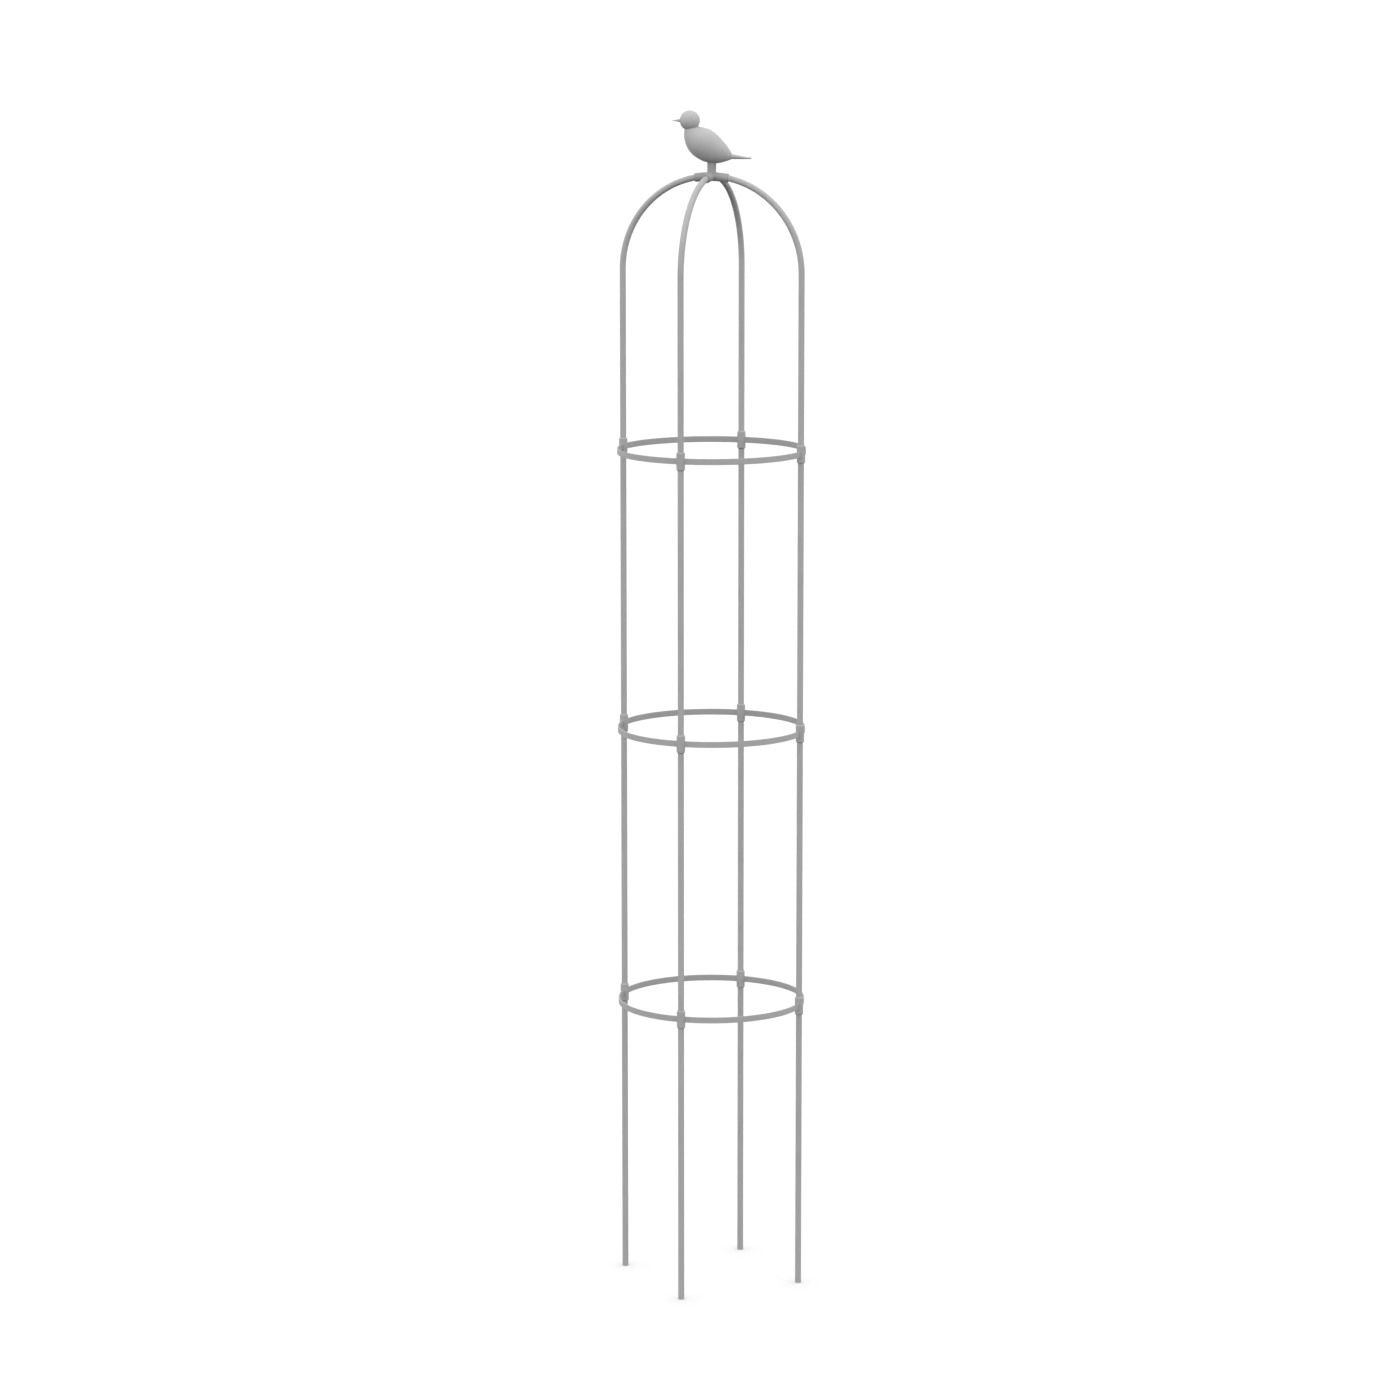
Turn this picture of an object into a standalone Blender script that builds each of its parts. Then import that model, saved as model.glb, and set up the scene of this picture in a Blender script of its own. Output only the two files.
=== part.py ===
"""Rose pergola: a slender round column of plug-together steel tube with a bird on its crown.

Four posts of round tube stand on a circle. Each post is three straight tubes and a bent arch
tube, joined end to end inside short sleeves. Flat bands run from sleeve to sleeve and make
three rings. The arch tubes meet in a four-armed hub, and a bird sits on the hub's stem.

Metres, +Z up. The origin is on the ground, in the middle of the four posts.
"""

import math

import bmesh
import bpy
from mathutils import Vector

# Tube, the circle of posts, and the heights at which the rings hold them
POST_CIRCLE_RADIUS = 0.200
TUBE_RADIUS = 0.0065
TUBE_WALL = 0.0010
LOWER_RING_HEIGHT = 0.6190
MIDDLE_RING_HEIGHT = 1.2165
UPPER_RING_HEIGHT = 1.8175
SPRING_ABOVE_TOP_RING = 0.3817

# Sleeves, one on each post at each ring
SLEEVE_RADIUS = 0.0090
SLEEVE_LENGTH = 0.0385
SLEEVE_CHAMFER = 0.0018

# Flat bands that make the rings
BAND_HEIGHT = 0.0127
BAND_THICKNESS = 0.0025

# Hub on the crown: arms along the arches, a solid core and a stem for the bird
HUB_ARM_RADIUS = 0.0090
HUB_ARM_REACH = 0.0366
HUB_ARM_CHAMFER = 0.0006
HUB_CORE_RADIUS = 0.0100
STEM_RADIUS = 0.0094
STEM_FOOT = 0.0086
STEM_REACH = 0.0279
BORE_FLOOR = 0.0030

# Bird: heights are above the point where its belly meets the stem's axis
BIRD_HEADING = math.radians(18.9)
SPIGOT_RADIUS = 0.0062
SPIGOT_INTO_BODY = 0.0150
HEAD_RADIUS = 0.0213
HEAD_LEAN = 0.0016
HEAD_RISE = 0.0112
BEAK_LENGTH = 0.0154
BEAK_ROOT_RADIUS = 0.0040
BEAK_TIP_RADIUS = 0.0005

# The body's spine from neck to tail: distance behind the stem, height, radius of the girth
BODY_STATIONS = (
    (-0.0445, 0.0780, 0.0110),
    (-0.0430, 0.0675, 0.0193),
    (-0.0289, 0.0488, 0.0336),
    (-0.0098, 0.0352, 0.0323),
    (-0.0013, 0.0301, 0.0314),
    (0.0145, 0.0222, 0.0259),
    (0.0304, 0.0168, 0.0169),
    (0.0425, 0.0123, 0.0051),
)

# The tail, from inside the body's end: distance behind that end, rise, width and thickness
TAIL_STATIONS = (
    (-0.0045, 0.0006, 0.0099, 0.0099),
    (0.0035, 0.0009, 0.0104, 0.0101),
    (0.0095, 0.0004, 0.0112, 0.0090),
    (0.0180, -0.0004, 0.0126, 0.0074),
    (0.0265, -0.0013, 0.0141, 0.0057),
    (0.0352, -0.0020, 0.0157, 0.0040),
    (0.0378, -0.0020, 0.0161, 0.0040),
    (0.0396, -0.0016, 0.0165, 0.0047),
    (0.0411, -0.0017, 0.0163, 0.0042),
)

# Fits, and how far a cutter runs on past what it cuts
FIT = 0.0003
CUTTER_SPARE = 0.0050

# Smoothness of the round pieces
TUBE_BEVEL_RESOLUTION = 7
TUBE_SIDES = 4 + 2 * TUBE_BEVEL_RESOLUTION
BEND_STEPS = 14
ARM_STEPS = 8
SLEEVE_STEPS = 20
BAND_STEPS = 16
BODY_BEVEL_RESOLUTION = 9
BODY_STEPS = 4
BODY_CURVE_ORDER = 4
HEAD_SEGMENTS = 24
HEAD_RINGS = 14
BEAK_SIDES = 16
TAIL_SIDES = 24
SHARP_ANGLE = math.radians(35)
MERGE_DISTANCE = 0.00001

# Powder coats: grey level and roughness
COATINGS = {
    "tube_coating": (0.38, 0.55),
    "sleeve_coating": (0.37, 0.58),
    "band_coating": (0.38, 0.52),
    "hub_coating": (0.36, 0.60),
    "bird_coating": (0.39, 0.50),
}

# Places that follow from the sizes above
STAGES = ("lower", "middle", "upper")
RING_HEIGHTS = (LOWER_RING_HEIGHT, MIDDLE_RING_HEIGHT, UPPER_RING_HEIGHT)
SPRING_HEIGHT = UPPER_RING_HEIGHT + SPRING_ABOVE_TOP_RING
BEND_RADIUS = POST_CIRCLE_RADIUS
CROWN_HEIGHT = SPRING_HEIGHT + BEND_RADIUS
SOCKET_RADIUS = TUBE_RADIUS + FIT
QUARTER_TURN = math.radians(90)
SIDES = {"right": 0.0, "back": QUARTER_TURN, "left": 2 * QUARTER_TURN, "front": 3 * QUARTER_TURN}


def clear_scene():
    """Remove every object of the scene that is open."""
    for leftover in list(bpy.data.objects):
        bpy.data.objects.remove(leftover, do_unlink=True)


def new_collection(name):
    """Make a collection under the scene's own."""
    collection = bpy.data.collections.new(name)
    bpy.context.scene.collection.children.link(collection)
    return collection


def new_coating(name):
    """Matt grey powder coat over steel."""
    grey, roughness = COATINGS[name]
    material = bpy.data.materials.new(name)
    material.use_nodes = True
    shader = material.node_tree.nodes["Principled BSDF"]
    shader.inputs["Base Color"].default_value = (grey, grey, grey, 1.0)
    shader.inputs["Roughness"].default_value = roughness
    shader.inputs["Metallic"].default_value = 0.0
    return material


def add_object(name, data, collection):
    """Link a new object that holds the given mesh or curve."""
    item = bpy.data.objects.new(name, data)
    collection.objects.link(item)
    return item


def as_cutter(item):
    """Show a piece as wires only and keep it out of the picture."""
    item.hide_render = True
    item.display_type = "WIRE"
    return item


def finish(item, material):
    """Give a piece its coat, and smooth shading with crisp edges."""
    item.data.materials.clear()
    item.data.materials.append(material)
    item.data.shade_smooth()
    item.data.set_sharp_from_angle(angle=SHARP_ANGLE)
    return item


def new_primitive(name, make, collection, **sizes):
    """Object from one of bmesh's primitives, centred on its own origin."""
    mesh = bpy.data.meshes.new(name)
    shape = bmesh.new()
    make(shape, **sizes)
    shape.to_mesh(mesh)
    shape.free()
    mesh.shade_smooth()
    return add_object(name, mesh, collection)


def upright_cone(name, foot_radius, top_radius, foot, top, sides, collection):
    """Round bar or cone on the Z axis between two heights."""
    cone = new_primitive(
        name,
        bmesh.ops.create_cone,
        collection,
        cap_ends=True,
        segments=sides,
        radius1=foot_radius,
        radius2=top_radius,
        depth=top - foot,
    )
    for vert in cone.data.vertices:
        vert.co.z += (foot + top) / 2
    return cone


def boolean(item, other, operation):
    """Join or cut a piece with another through a Boolean modifier."""
    modifier = item.modifiers.new(f"{operation.lower()} {other.name}", "BOOLEAN")
    modifier.operation = operation
    modifier.solver = "EXACT"
    modifier.object = other


def new_curve(name, points, radius, collection, caps=True, tilt=0.0):
    """Round bar or open tube along points, each an (x, y, z, share of the radius)."""
    curve = bpy.data.curves.new(name, "CURVE")
    curve.dimensions = "3D"
    curve.twist_mode = "MINIMUM"
    curve.bevel_depth = radius
    curve.bevel_resolution = TUBE_BEVEL_RESOLUTION
    curve.use_fill_caps = caps
    spline = curve.splines.new("POLY")
    spline.points.add(len(points) - 1)
    for spot, (x, y, z, share) in zip(spline.points, points):
        spot.co = (x, y, z, 1.0)
        spot.radius = share
        spot.tilt = tilt
    return add_object(name, curve, collection)


def curve_to_mesh(item, collection):
    """Replace a curve object with a mesh object of the same name and place, its caps welded."""
    bpy.context.view_layer.update()
    name = item.name
    place = item.matrix_world.copy()
    evaluated = item.evaluated_get(bpy.context.evaluated_depsgraph_get())
    mesh = bpy.data.meshes.new_from_object(evaluated)
    bpy.data.objects.remove(item, do_unlink=True)
    shape = bmesh.new()
    shape.from_mesh(mesh)
    bmesh.ops.remove_doubles(shape, verts=shape.verts, dist=MERGE_DISTANCE)
    bmesh.ops.recalc_face_normals(shape, faces=shape.faces)
    shape.to_mesh(mesh)
    shape.free()
    solid = add_object(name, mesh, collection)
    solid.matrix_world = place
    return solid


def arch_point(angle, share=1.0):
    """Point on an arch's centre line, at an angle from the crown towards +X."""
    across = BEND_RADIUS * math.sin(angle)
    height = SPRING_HEIGHT + BEND_RADIUS * math.cos(angle)
    return (across, 0.0, height, share)


def arch_points(first, last, steps):
    """Points along an arch's centre line from one angle to another."""
    return [arch_point(first + (last - first) * step / steps) for step in range(steps + 1)]


def arch_bend():
    """Points of an arch tube's bend, from the spring line to its stop in the hub."""
    stop = math.asin((HUB_CORE_RADIUS + FIT) / BEND_RADIUS)
    return arch_points(QUARTER_TURN, stop, BEND_STEPS)


def hollow_tube(name, points, material, collection):
    """Open tube with a wall, from a bevelled curve thickened inwards."""
    skin = new_curve(name, points, TUBE_RADIUS, collection, caps=False)
    tube = curve_to_mesh(skin, collection)
    wall = tube.modifiers.new("wall", "SOLIDIFY")
    wall.thickness = TUBE_WALL
    wall.offset = -1.0
    wall.use_even_offset = True
    return finish(tube, material)


def set_on_post(item, side, height):
    """Stand a piece that was made on its own axis on one of the posts."""
    angle = SIDES[side]
    item.rotation_euler.z = angle
    item.location.x = POST_CIRCLE_RADIUS * math.cos(angle)
    item.location.y = POST_CIRCLE_RADIUS * math.sin(angle)
    item.location.z = height


def build_post_tubes(parts, material):
    """Straight tubes, each ending in the middle of the sleeve above it."""
    kinds = ("lower_leg", "middle_post", "upper_post")
    feet = (0.0, *(height + FIT / 2 for height in RING_HEIGHTS[:-1]))
    tops = (height - FIT / 2 for height in RING_HEIGHTS)
    for kind, foot, top in zip(kinds, feet, tops):
        points = [(0.0, 0.0, 0.0, 1.0), (0.0, 0.0, top - foot, 1.0)]
        for side in SIDES:
            tube = hollow_tube(f"{kind}_{side}", points, material, parts)
            set_on_post(tube, side, foot)


def build_arch_tubes(parts, material):
    """Bent tubes, from the top ring's sleeves up and over to the hub's core."""
    foot = (POST_CIRCLE_RADIUS, 0.0, UPPER_RING_HEIGHT + FIT / 2, 1.0)
    for side, angle in SIDES.items():
        tube = hollow_tube(f"arch_tube_{side}", [foot, *arch_bend()], material, parts)
        tube.rotation_euler.z = angle


def turned_sleeve(name, material, collection):
    """Sleeve with chamfered ends, its outline run down the outer side and up the bore."""
    half = SLEEVE_LENGTH / 2
    shoulder = half - SLEEVE_CHAMFER
    rim = SLEEVE_RADIUS - SLEEVE_CHAMFER
    outline = (
        (rim, 0.0, half),
        (SLEEVE_RADIUS, 0.0, shoulder),
        (SLEEVE_RADIUS, 0.0, -shoulder),
        (rim, 0.0, -half),
        (SOCKET_RADIUS, 0.0, -half),
        (SOCKET_RADIUS, 0.0, half),
    )
    edges = [(index, (index + 1) % len(outline)) for index in range(len(outline))]
    mesh = bpy.data.meshes.new(name)
    mesh.from_pydata(outline, edges, [])
    sleeve = add_object(name, mesh, collection)
    screw = sleeve.modifiers.new("turn", "SCREW")
    screw.axis = "Z"
    screw.angle = 2 * math.pi
    screw.steps = SLEEVE_STEPS
    screw.render_steps = SLEEVE_STEPS
    screw.use_merge_vertices = True
    screw.merge_threshold = MERGE_DISTANCE
    return finish(sleeve, material)


def build_sleeves(parts, material):
    """A sleeve at each crossing of a post and a ring."""
    for stage, height in zip(STAGES, RING_HEIGHTS):
        for side in SIDES:
            sleeve = turned_sleeve(f"{stage}_sleeve_{side}", material, parts)
            set_on_post(sleeve, side, height)


def quarter_band(name, collection):
    """Flat strip standing on edge and rolled to a quarter circle, from sleeve to sleeve."""
    margin = 2 * math.asin((SLEEVE_RADIUS + FIT) / (2 * POST_CIRCLE_RADIUS))
    sweep = QUARTER_TURN - 2 * margin
    angles = [margin + sweep * step / BAND_STEPS for step in range(BAND_STEPS + 1)]
    outer = POST_CIRCLE_RADIUS + BAND_THICKNESS / 2
    inner = POST_CIRCLE_RADIUS - BAND_THICKNESS / 2
    outline = [(outer * math.cos(angle), outer * math.sin(angle)) for angle in angles]
    outline += [(inner * math.cos(angle), inner * math.sin(angle)) for angle in reversed(angles)]
    curve = bpy.data.curves.new(name, "CURVE")
    curve.dimensions = "2D"
    curve.fill_mode = "BOTH"
    curve.extrude = BAND_HEIGHT / 2
    spline = curve.splines.new("POLY")
    spline.points.add(len(outline) - 1)
    for spot, (x, y) in zip(spline.points, outline):
        spot.co = (x, y, 0.0, 1.0)
    spline.use_cyclic_u = True
    return curve_to_mesh(add_object(name, curve, collection), collection)


def build_bands(parts, material):
    """Four quarter bands to a ring."""
    names = list(SIDES)
    for stage, height in zip(STAGES, RING_HEIGHTS):
        for side, following in zip(names, names[1:] + names[:1]):
            band = quarter_band(f"{stage}_band_{side}_{following}", parts)
            band.rotation_euler.z = SIDES[side]
            band.location.z = height
            finish(band, material)


def arm_bar(name, angle, tilt, collection):
    """Two opposite hub arms as one bent bar with chamfered ends, its facets turned by tilt."""
    reach = math.asin(HUB_ARM_REACH / BEND_RADIUS)
    shoulder = math.asin((HUB_ARM_REACH - HUB_ARM_CHAMFER) / BEND_RADIUS)
    tip_share = 1 - HUB_ARM_CHAMFER / HUB_ARM_RADIUS
    middle = arch_points(-shoulder, shoulder, ARM_STEPS)
    points = [arch_point(-reach, tip_share), *middle, arch_point(reach, tip_share)]
    bar = curve_to_mesh(new_curve(name, points, HUB_ARM_RADIUS, collection, tilt=tilt), collection)
    bar.rotation_euler.z = angle
    return bar


def socket_cutter(name, angle, collection):
    """Bore for one arch tube, along the tube's own bend and out past the arm's mouth."""
    bend = arch_bend()[:-1]
    inside = [point for point in bend if point[0] < HUB_ARM_REACH + CUTTER_SPARE]
    mouth = bend[-len(inside) - 1]
    floor = arch_point(math.asin(HUB_CORE_RADIUS / BEND_RADIUS))
    bore = new_curve(name, [mouth, *inside, floor], SOCKET_RADIUS, collection)
    bore = curve_to_mesh(bore, collection)
    bore.rotation_euler.z = angle
    return as_cutter(bore)


def build_hub(parts, cutters, stand, material):
    """Four arms and a stem right through them, all bored, the stem's top coped to the belly."""
    quarter_facet = math.pi / (2 * TUBE_SIDES)
    hub = arm_bar("crown_hub", 0.0, 0.0, parts)
    across = arm_bar("hub_arms_across", QUARTER_TURN, quarter_facet, cutters)
    boolean(hub, as_cutter(across), "UNION")
    top = CROWN_HEIGHT + STEM_REACH + STEM_RADIUS
    floor = CROWN_HEIGHT - HUB_ARM_RADIUS + BORE_FLOOR
    foot = CROWN_HEIGHT - STEM_FOOT
    stem = upright_cone("hub_stem", STEM_RADIUS, STEM_RADIUS, foot, top, TUBE_SIDES, cutters)
    boolean(hub, as_cutter(stem), "UNION")
    for side, angle in SIDES.items():
        boolean(hub, socket_cutter(f"hub_socket_{side}", angle, cutters), "DIFFERENCE")
    clear = SPIGOT_RADIUS + FIT
    bore = upright_cone("hub_bore", clear, clear, floor, top + CUTTER_SPARE, TUBE_SIDES, cutters)
    boolean(hub, as_cutter(bore), "DIFFERENCE")
    cope = as_cutter(curve_to_mesh(body_curve("hub_cope", FIT, cutters), cutters))
    cope.parent = stand
    boolean(hub, cope, "DIFFERENCE")
    finish(hub, material)


def build_bird_stand(cutters):
    """Empty where the belly meets the stem's axis, which turns the bird to its heading."""
    stand = bpy.data.objects.new("bird_stand", None)
    cutters.objects.link(stand)
    stand.location.z = CROWN_HEIGHT + STEM_REACH
    stand.rotation_euler.z = BIRD_HEADING
    return stand


def build_spigot(parts, cutters, stand, material):
    """Round pin that plugs the bird into the stem. Returns the cutter for its hole in the body."""
    foot = BORE_FLOOR + FIT - HUB_ARM_RADIUS - STEM_REACH
    top = SPIGOT_INTO_BODY
    pin = upright_cone("bird_spigot", SPIGOT_RADIUS, SPIGOT_RADIUS, foot, top, TUBE_SIDES, parts)
    pin.parent = stand
    finish(pin, material)
    clear = SPIGOT_RADIUS + FIT
    hole = upright_cone("spigot_hole", clear, clear, foot, top + FIT, TUBE_SIDES, cutters)
    hole.parent = stand
    return as_cutter(hole)


def body_curve(name, grow, collection):
    """The bird's body as a bar that swells and tapers along its spine, made fatter by grow."""
    curve = bpy.data.curves.new(name, "CURVE")
    curve.dimensions = "3D"
    curve.twist_mode = "MINIMUM"
    curve.bevel_depth = 1.0
    curve.bevel_resolution = BODY_BEVEL_RESOLUTION
    curve.use_fill_caps = True
    spline = curve.splines.new("NURBS")
    spline.points.add(len(BODY_STATIONS) - 1)
    for spot, (behind, above, girth) in zip(spline.points, BODY_STATIONS):
        spot.co = (behind, 0.0, above, 1.0)
        spot.radius = girth + grow
    spline.order_u = BODY_CURVE_ORDER
    spline.resolution_u = BODY_STEPS
    spline.use_endpoint_u = True
    return add_object(name, curve, collection)


def head_place():
    """Centre of the ball head, from the neck end of the body's spine."""
    behind, above, _ = BODY_STATIONS[0]
    return Vector((behind - HEAD_LEAN, 0.0, above + HEAD_RISE))


def head_ball(name, radius, stand, collection):
    """Ball at the head's place, its poles fore and aft."""
    ball = new_primitive(
        name,
        bmesh.ops.create_uvsphere,
        collection,
        u_segments=HEAD_SEGMENTS,
        v_segments=HEAD_RINGS,
        radius=radius,
    )
    ball.rotation_euler.y = QUARTER_TURN
    ball.location = head_place()
    ball.parent = stand
    return ball


def build_body(parts, cutters, stand, spigot_hole, material):
    """Plump body with a round seat for the head. Returns the cutter that shapes the seat."""
    body = curve_to_mesh(body_curve("bird_body", 0.0, parts), parts)
    body.parent = stand
    head_seat = as_cutter(head_ball("head_seat", HEAD_RADIUS + FIT, stand, cutters))
    boolean(body, head_seat, "DIFFERENCE")
    boolean(body, spigot_hole, "DIFFERENCE")
    finish(body, material)
    return head_seat


def build_beak(parts, stand, head_seat, material):
    """Pointed beak, its root hollowed to sit on the ball head."""
    root = head_place() - Vector((HEAD_RADIUS - BEAK_ROOT_RADIUS, 0.0, 0.0))
    length = BEAK_ROOT_RADIUS + BEAK_LENGTH
    beak = upright_cone("bird_beak", BEAK_ROOT_RADIUS, BEAK_TIP_RADIUS, 0.0, length, BEAK_SIDES, parts)
    beak.rotation_euler.y = -QUARTER_TURN
    beak.location = root
    beak.parent = stand
    boolean(beak, head_seat, "DIFFERENCE")
    finish(beak, material)


def oval_bar(name, stations, start, sides, collection):
    """Bar along X with an oval section at each station, counted from a starting point."""
    shape = bmesh.new()
    rings = []
    for behind, rise, width, thickness in stations:
        ring = []
        for side in range(sides):
            angle = 2 * math.pi * side / sides
            across = width / 2 * math.cos(angle)
            height = start.z + rise + thickness / 2 * math.sin(angle)
            ring.append(shape.verts.new((start.x + behind, across, height)))
        rings.append(ring)
    for ring, following in zip(rings, rings[1:]):
        for side in range(sides):
            after = (side + 1) % sides
            shape.faces.new((ring[side], ring[after], following[after], following[side]))
    shape.faces.new(rings[0])
    shape.faces.new(rings[-1])
    bmesh.ops.recalc_face_normals(shape, faces=shape.faces)
    mesh = bpy.data.meshes.new(name)
    shape.to_mesh(mesh)
    shape.free()
    return add_object(name, mesh, collection)


def body_end_block(end, direction, stand, cutters):
    """Block whose face lies square on the body's end, a fit away from it."""
    size = TAIL_STATIONS[-1][0]
    block = new_primitive("tail_root_cut", bmesh.ops.create_cube, cutters, size=size)
    block.rotation_euler.y = -math.atan2(direction.z, direction.x)
    block.location = end + direction * (FIT - size / 2)
    block.parent = stand
    return as_cutter(block)


def build_tail(parts, cutters, stand, material):
    """Tail drawn from the body's round end to a flat, wider end with a lip, its underside level."""
    before, end = (Vector((behind, 0.0, above)) for behind, above, _ in BODY_STATIONS[-2:])
    tail = oval_bar("bird_tail", TAIL_STATIONS, end, TAIL_SIDES, parts)
    tail.parent = stand
    direction = (end - before).normalized()
    boolean(tail, body_end_block(end, direction, stand, cutters), "DIFFERENCE")
    finish(tail, material)


def build():
    """Build the whole column."""
    clear_scene()
    parts = new_collection("rose_pergola")
    cutters = new_collection("cutters")
    coats = {name: new_coating(name) for name in COATINGS}
    build_post_tubes(parts, coats["tube_coating"])
    build_arch_tubes(parts, coats["tube_coating"])
    build_sleeves(parts, coats["sleeve_coating"])
    build_bands(parts, coats["band_coating"])
    stand = build_bird_stand(cutters)
    build_hub(parts, cutters, stand, coats["hub_coating"])
    spigot_hole = build_spigot(parts, cutters, stand, coats["hub_coating"])
    head_seat = build_body(parts, cutters, stand, spigot_hole, coats["bird_coating"])
    finish(head_ball("bird_head", HEAD_RADIUS, stand, parts), coats["bird_coating"])
    build_beak(parts, stand, head_seat, coats["bird_coating"])
    build_tail(parts, cutters, stand, coats["bird_coating"])


build()
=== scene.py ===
"""Rose pergola, dressed: a slender round column of plug-together steel tube for climbing roses.

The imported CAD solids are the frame. A finer piece of the same size stands in the place of each
solid that shows, with a procedural powder coat. Metres, +Z up, the origin on the ground in the
middle of the four posts. The sections follow the column as it is put together, from the ground
up to the bird, and the floor, the light and the camera come last.
"""

import math

import bmesh
import bpy
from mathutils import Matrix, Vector


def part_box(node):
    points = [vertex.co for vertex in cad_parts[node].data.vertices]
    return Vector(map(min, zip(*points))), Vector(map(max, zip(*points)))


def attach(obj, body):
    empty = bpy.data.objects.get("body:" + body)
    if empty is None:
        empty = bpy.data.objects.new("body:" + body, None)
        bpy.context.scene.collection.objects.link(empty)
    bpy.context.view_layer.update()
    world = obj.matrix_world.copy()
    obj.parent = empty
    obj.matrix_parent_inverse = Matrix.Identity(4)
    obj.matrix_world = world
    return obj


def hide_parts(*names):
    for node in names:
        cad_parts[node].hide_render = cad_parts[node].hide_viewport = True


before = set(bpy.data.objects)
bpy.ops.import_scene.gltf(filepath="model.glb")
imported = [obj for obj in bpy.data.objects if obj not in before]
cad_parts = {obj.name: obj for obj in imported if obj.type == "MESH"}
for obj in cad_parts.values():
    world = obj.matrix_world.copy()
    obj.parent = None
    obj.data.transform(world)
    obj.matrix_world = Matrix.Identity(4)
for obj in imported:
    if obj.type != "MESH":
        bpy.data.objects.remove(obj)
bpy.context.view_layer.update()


# Straight posts: four legs on the ground, four middle posts and four upper posts.
# Drawn steel tube, 13 mm across with a 1 mm wall, sawn square, deburred and powder coated.
# Each end is pushed half-way through a sleeve. Only the legs' lower ends show, on the ground.
POST_CIRCLE_RADIUS = 0.200
TUBE_RADIUS = 0.0065
TUBE_WALL = 0.0010
TUBE_SIDES = 40
RIM_EASE = 0.0002
EASE_SEGMENTS = 2
SIDES = ("right", "back", "left", "front")
QUARTER_TURN = math.radians(90)
SQUARE_FOLD = math.radians(60)
END_FACE_SLOPE = 0.9
SMOOTH_ANGLE = math.radians(40)
SMOOTH_WEIGHT = 80
TUBE_GREY = 0.360
TUBE_ROUGHNESS = 0.62
COAT_GLOSS = 0.20
MOTTLE_SCALE = 17.0
MOTTLE_DETAIL = 3.0
MOTTLE_SPAN = (0.3, 0.7)
MOTTLE_SPREAD = 0.035
SHEEN_SCALE = 75.0
SHEEN_DETAIL = 2.0
SHEEN_SPAN = (0.2, 0.8)
SHEEN_SPREAD = 0.07
PEEL_SCALE = 720.0
PEEL_DETAIL = 2.0
PEEL_STRENGTH = 0.35
PEEL_DEPTH = 0.00006


def take_up(piece):
    """Select one object alone and make it the active one."""
    bpy.ops.object.select_all(action="DESELECT")
    piece.select_set(True)
    bpy.context.view_layer.objects.active = piece


def fix_place(piece):
    """Carry an object's place, turn and size over into its mesh."""
    take_up(piece)
    bpy.ops.object.transform_apply(location=True, rotation=True, scale=True)


def copy_of(piece):
    """Second object with a mesh of its own."""
    twin = piece.copy()
    twin.data = piece.data.copy()
    bpy.context.scene.collection.objects.link(twin)
    return twin


def name_new(name):
    """Name the object that was just added, and hand it back."""
    piece = bpy.context.object
    piece.name = piece.data.name = name
    return piece


def is_level_end(face):
    """Tell an end face that lies level from the sides of an upright tube."""
    return abs(face.normal.z) > END_FACE_SLOPE


def pick_faces(wanted):
    """In edit mode, select only the faces that pass a test."""
    bpy.ops.mesh.select_mode(type="FACE")
    bpy.ops.mesh.select_all(action="DESELECT")
    mesh = bpy.context.object.data
    shape = bmesh.from_edit_mesh(mesh)
    shape.normal_update()
    for face in shape.faces:
        face.select_set(wanted(face))
    bmesh.update_edit_mesh(mesh)


def pick_folds(sharper_than):
    """In edit mode, select only the edges that are folded more sharply than an angle."""
    bpy.ops.mesh.select_mode(type="EDGE")
    bpy.ops.mesh.select_all(action="DESELECT")
    mesh = bpy.context.object.data
    shape = bmesh.from_edit_mesh(mesh)
    shape.normal_update()
    for edge in shape.edges:
        edge.select_set(edge.is_manifold and edge.calc_face_angle() > sharper_than)
    bmesh.update_edit_mesh(mesh)


def ease_folds(sharper_than, offset):
    """In edit mode, round the sharp folds as deburring and a coat of powder do."""
    pick_folds(sharper_than)
    bpy.ops.mesh.bevel(offset=offset, segments=EASE_SEGMENTS, affect="EDGES", clamp_overlap=True)


def new_noise(coat, place, scale, detail):
    """Noise texture on a piece's own place, in features to the metre."""
    noise = coat.node_tree.nodes.new("ShaderNodeTexNoise")
    noise.inputs["Scale"].default_value = scale
    noise.inputs["Detail"].default_value = detail
    coat.node_tree.links.new(place.outputs["Object"], noise.inputs["Vector"])
    return noise


def new_range(coat, value, from_values, to_values):
    """Map one range of a value to another."""
    ramp = coat.node_tree.nodes.new("ShaderNodeMapRange")
    ramp.inputs["From Min"].default_value, ramp.inputs["From Max"].default_value = from_values
    ramp.inputs["To Min"].default_value, ramp.inputs["To Max"].default_value = to_values
    coat.node_tree.links.new(value, ramp.inputs["Value"])
    return ramp.outputs["Result"]


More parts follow.
